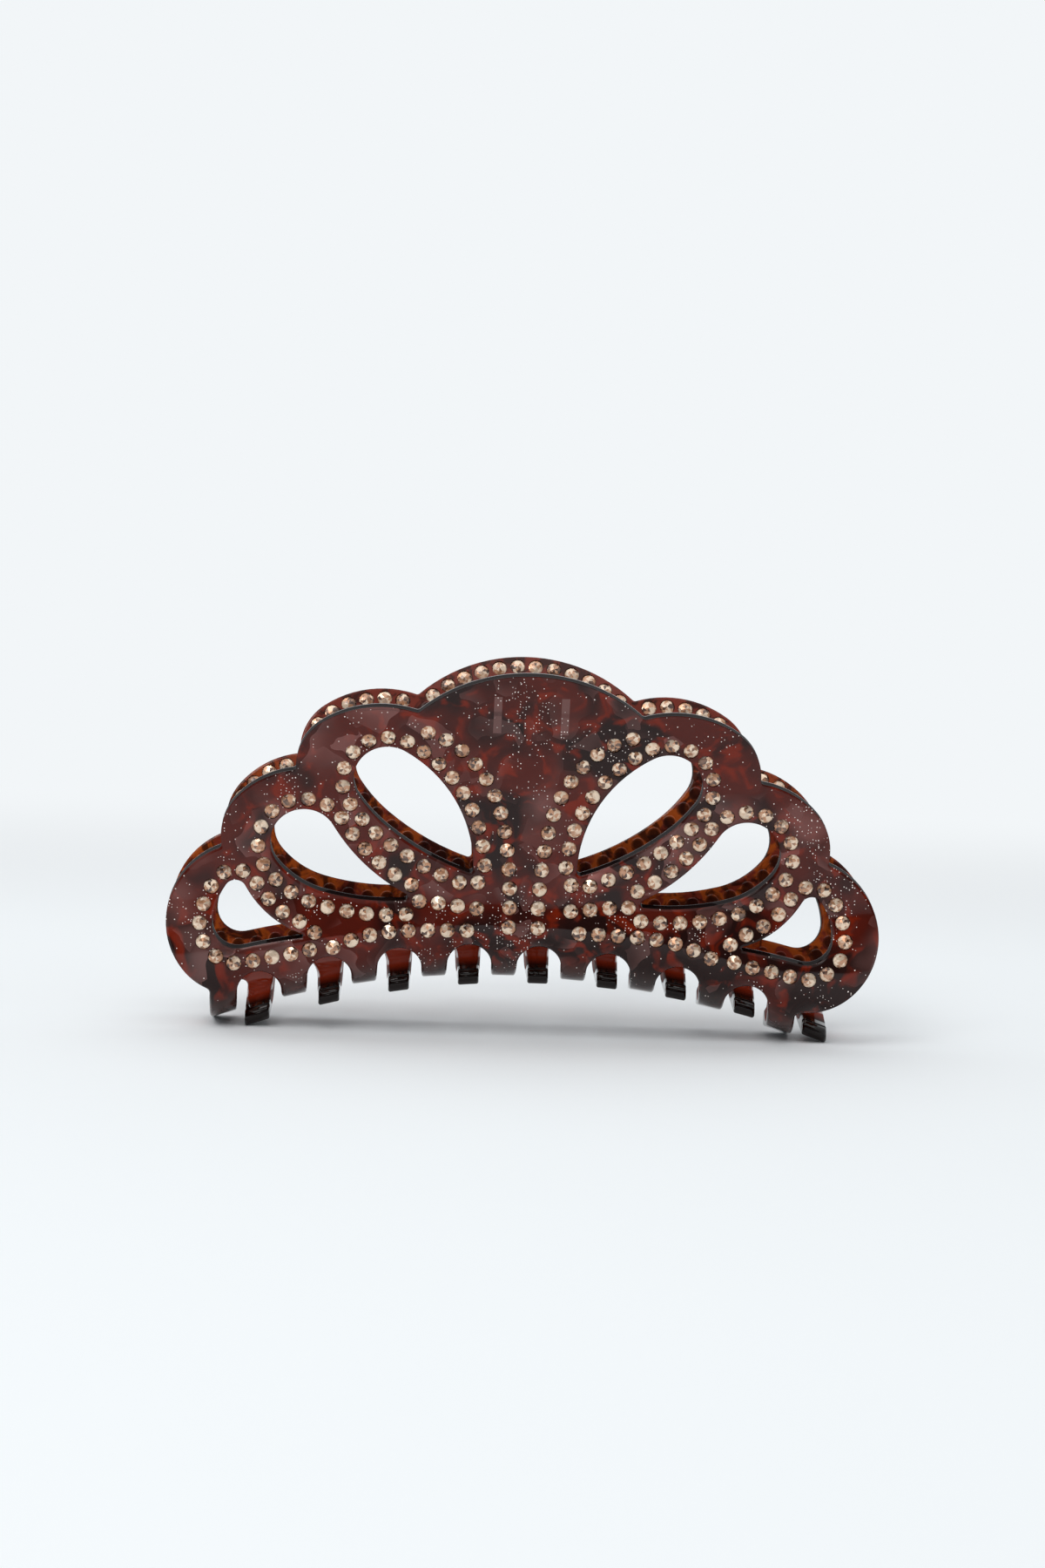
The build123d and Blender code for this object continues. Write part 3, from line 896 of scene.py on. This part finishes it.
@dataclass
class SeatMarks:
    """Round backs of the face stones' seats, which show dark in a jaw's inner face.

    Each is a low round button, a hair proud of the face, in millimetres. It has the sheet's
    own finish, and its spot attribute darkens it towards the middle.
    """

    name: str
    side: Side
    radius: float = 1.15
    proud: float = 0.015
    depth: float = 0.10
    rise: float = 0.4
    steps: int = 16
    plateau: float = 0.55
    shoulder: float = 0.80
    shoulder_shade: float = 0.75

    def build(self, material: bpy.types.Material) -> bpy.types.Object:
        """Puts a button behind each face stone: a middle, rings about it, a wall and a floor."""
        middles = stone_places("front_face_stones", Side.FRONT) + [0.0, 0.0, self.rise]
        places, normals = BEND.project(middles, Face.INNER)
        level = np.tile([1.0, 0.0, 0.0], (len(places), 1))
        upward = np.cross(normals, level)
        angles = 2 * np.pi * np.arange(self.steps) / self.steps
        round_ways = (np.cos(angles)[None, :, None] * level[:, None]
                      + np.sin(angles)[None, :, None] * upward[:, None])
        heights = [(self.plateau, self.proud), (self.shoulder, self.proud), (1.0, 0.0),
                   (1.0, -self.depth)]
        corners = [places[:, None] + normals[:, None] * self.proud]
        corners += [places[:, None] + normals[:, None] * height + share * self.radius * round_ways
                    for share, height in heights]
        vertices = turn(np.concatenate(corners, axis=1).reshape(-1, 3), self.side) * MM
        k = np.arange(self.steps)
        after = (k + 1) % self.steps
        size = 1 + self.steps * len(heights)
        first = (np.arange(len(places)) * size)[:, None, None]
        tops = np.stack([np.zeros(self.steps, int), 1 + k, 1 + after], axis=1)
        walls = np.concatenate([
            np.stack([1 + k + a, 1 + k + a + self.steps, 1 + after + a + self.steps, 1 + after + a],
                     axis=1) for a in self.steps * np.arange(len(heights) - 1)
        ])
        floor = (1 + k[::-1] + self.steps * (len(heights) - 1))[None]
        faces = [(part[None] + first).reshape(-1, part.shape[1]) for part in (tops, walls, floor)]
        piece = add_piece(self.name, vertices, faces, material, self.side)
        shade = np.repeat([1.0, 1.0, self.shoulder_shade, 0.0, 0.0],
                          [1] + [self.steps] * len(heights))
        attribute = piece.data.attributes.new("spot", "FLOAT", "POINT")
        attribute.data.foreach_set("value", np.tile(shade, len(places)).astype(np.float32))
        return piece


@dataclass(frozen=True)
class Lamp:
    """A square soft lamp: its place and width in metres and its power in watts."""

    name: str
    place: Place
    size: float
    power: float
    colour: Colour = (1.0, 0.98, 0.96)

    def build(self) -> None:
        """Adds the lamp, turned to face the clip."""
        data = bpy.data.lights.new(self.name, "AREA")
        data.size = self.size
        data.energy = self.power
        data.color = self.colour
        lamp = bpy.data.objects.new(self.name, data)
        lamp.location = self.place
        lamp.rotation_euler = (-Vector(self.place)).to_track_quat("-Z", "Y").to_euler()
        bpy.context.scene.collection.objects.link(lamp)


@dataclass
class Studio:
    """Pale table, pale room and soft light, in metres. The scale is per metre."""

    table_back: float = 0.42
    table_front: float = -3.0
    half_width: float = 3.0
    fade_start: float = 0.08
    fade_end: float = 0.36
    side_fade_start: float = 0.5
    side_fade_end: float = 2.4
    table_colour: Colour = (0.90, 0.94, 0.965)
    wall: Colour = (0.89, 0.92, 0.94)
    sides: Colour = (0.70, 0.715, 0.73)
    ceiling: Colour = (0.50, 0.51, 0.52)
    shade: Colour = (0.03, 0.03, 0.032)
    pale_share: float = 0.985
    mottle_scale: float = 6.0
    low_fall: Rise = (0.50, 0.28)
    ahead_rise: Rise = (-0.25, -0.75)
    behind_rise: Rise = (-0.10, 0.35)
    beside_rise: Rise = (0.45, 0.80)
    lamps: tuple[Lamp, ...] = (Lamp("overhead", (-0.15, 0.10, 1.00), 1.8, 7.1),
                               Lamp("front_left", (-0.45, -0.75, 0.85), 0.5, 2.9))

    def table(self) -> None:
        """Adds the table, a flat pale sheet that fades into the wall and the sides of the room."""
        w = self.half_width
        mesh = bpy.data.meshes.new("table")
        mesh.from_pydata([(-w, self.table_front, 0), (w, self.table_front, 0),
                          (w, self.table_back, 0), (-w, self.table_back, 0)], [], [(0, 1, 2, 3)])
        g = Graph.named("table")
        place = g.node("TexCoord").outputs["Object"]
        across, away, _ = g.split(place)
        back = g.step(away, self.fade_start, self.fade_end)
        aside = g.step(g.math("ABSOLUTE", across), self.side_fade_start, self.side_fade_end)
        fade = g.math("MAXIMUM", back, aside)
        glow = g.mix(back, self.sides, self.wall)
        pale = tuple(self.pale_share * c for c in self.table_colour)
        colour = g.mix(g.noise(place, self.mottle_scale), self.table_colour, pale)
        colour = g.mix(fade, colour, (0.0, 0.0, 0.0))
        mesh.materials.append(g.close(Base_Color=colour, Roughness=0.9, Specular_IOR_Level=0.0,
                                      Emission_Color=glow, Emission_Strength=fade))
        piece = bpy.data.objects.new("table", mesh)
        bpy.context.scene.collection.objects.link(piece)

    def build(self) -> None:
        """Adds the table, the room and the lamps."""
        self.table()
        self.room()
        for lamp in self.lamps:
            lamp.build()

    def room(self) -> None:
        """Pale walls behind and beside, a grey ceiling, and dark low in front, by the camera."""
        world = bpy.data.worlds.new("room")
        bpy.context.scene.world = world
        g = Graph(world)
        x, y, z = g.split(g.node("TexCoord").outputs["Generated"])
        low = g.step(z, *self.low_fall)
        ahead = g.product(g.step(y, *self.ahead_rise), low)
        behind = g.product(g.step(y, *self.behind_rise), low)
        beside = g.product(g.step(g.math("ABSOLUTE", x), *self.beside_rise), low)
        colour = g.mix(beside, self.ceiling, self.sides)
        colour = g.mix(behind, g.mix(ahead, colour, self.shade), self.wall)
        light = g.node("Background", {"Color": colour, "Strength": 1.0})
        output = g.node("OutputWorld")
        g.tree.links.new(light.outputs[0], output.inputs[0])


@dataclass
class Viewpoint:
    """The photograph's camera: height, distance and sideways shift in metres, angles in degrees."""

    height: float = 0.1075
    distance: float = 0.715
    aside: float = 0.00055
    pitch: float = 5.46
    yaw: float = -1.6
    roll: float = 1.93
    focal_pixels: float = 5215.0
    image_height: float = 1800.0
    sensor: float = 24.0
    nearest: float = 0.01
    farthest: float = 20.0

    def build(self) -> None:
        """Adds the camera.

        It stands at the distance from the clip's middle, turned by yaw about Z, pitched
        down, and rolled against the clock.
        """
        c, s = cos(radians(self.yaw)), sin(radians(self.yaw))
        pitch, roll = radians(self.pitch), radians(self.roll)
        place = np.array([-self.aside * c + self.distance * s,
                          -self.aside * s - self.distance * c, self.height])
        ahead = np.array([-cos(pitch) * s, cos(pitch) * c, -sin(pitch)])
        right = np.array([c, s, 0.0])
        above = np.cross(right, ahead)
        right_rolled = right * cos(roll) + above * sin(roll)
        above_rolled = above * cos(roll) - right * sin(roll)
        pose = np.eye(4)
        pose[:3, 0], pose[:3, 1], pose[:3, 2], pose[:3, 3] = (
            right_rolled, above_rolled, -ahead, place)
        data = bpy.data.cameras.new("camera")
        data.sensor_fit = "VERTICAL"
        data.sensor_height = self.sensor
        data.lens = self.focal_pixels / self.image_height * self.sensor
        data.clip_start = self.nearest
        data.clip_end = self.farthest
        camera = bpy.data.objects.new("camera", data)
        camera.matrix_world = Matrix(pose.tolist())
        bpy.context.scene.collection.objects.link(camera)
        bpy.context.scene.camera = camera


@dataclass
class FrameParts:
    """The frame's own solids that show, with their finishes."""

    bracket: Steel = Steel("bracket_steel", (0.52, 0.51, 0.50), 0.24, (300.0, 300.0, 9000.0))
    pin: Steel = Steel("pin_steel", (0.60, 0.59, 0.58), 0.18, (400.0, 9000.0, 9000.0))
    wire: Steel = Steel("spring_steel", (0.40, 0.39, 0.38), 0.22, (9000.0, 900.0, 900.0))

    def dress(self, node: str, material: bpy.types.Material) -> None:
        """Gives a node of the frame its finish."""
        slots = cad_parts[node].material_slots
        if not slots:
            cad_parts[node].data.materials.append(material)
        for index in range(len(slots)):
            slots[index].material = material
        log.info("%s: %s", node, material.name)

    def build(self) -> None:
        """Dresses the jaws, the brackets, the pin and the spring."""
        acetate = Acetate()
        self.dress("front_jaw", acetate.build(Side.FRONT))
        self.dress("back_jaw", acetate.build(Side.BACK))
        metal = self.bracket.build()
        self.dress("front_bracket", metal)
        self.dress("back_bracket", metal)
        self.dress("hinge_pin", self.pin.build())
        wire = self.wire.build()
        self.dress("spring_coil", wire)
        self.dress("spring_back_leg", wire)


def main() -> None:
    """Builds the looks, the studio and the camera."""
    logging.basicConfig(level=logging.INFO, format="%(message)s")
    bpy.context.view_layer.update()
    bpy.context.scene.view_settings.view_transform = "Standard"
    FrameParts().build()
    stone = FoiledStone().build()
    StoneSet("front_cut_stones", "front_face_stones", Side.FRONT, Face.OUTER, 11).build(stone)
    StoneSet("back_cut_stones", "front_face_stones", Side.BACK, Face.OUTER, 12,
             replaces=False).build(stone)
    StoneSet("front_rim_cut_stones", "front_rim_stones", Side.FRONT, Face.INNER, 13).build(stone)
    StoneSet("back_rim_cut_stones", "back_rim_stones", Side.BACK, Face.INNER, 14,
             source_side=Side.BACK).build(stone)
    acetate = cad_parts["front_jaw"].material_slots[0].material
    SeatMarks("front_seat_backs", Side.FRONT).build(acetate)
    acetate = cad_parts["back_jaw"].material_slots[0].material
    SeatMarks("back_seat_backs", Side.BACK).build(acetate)
    Studio().build()
    Viewpoint().build()


if __name__ == "__main__":
    main()
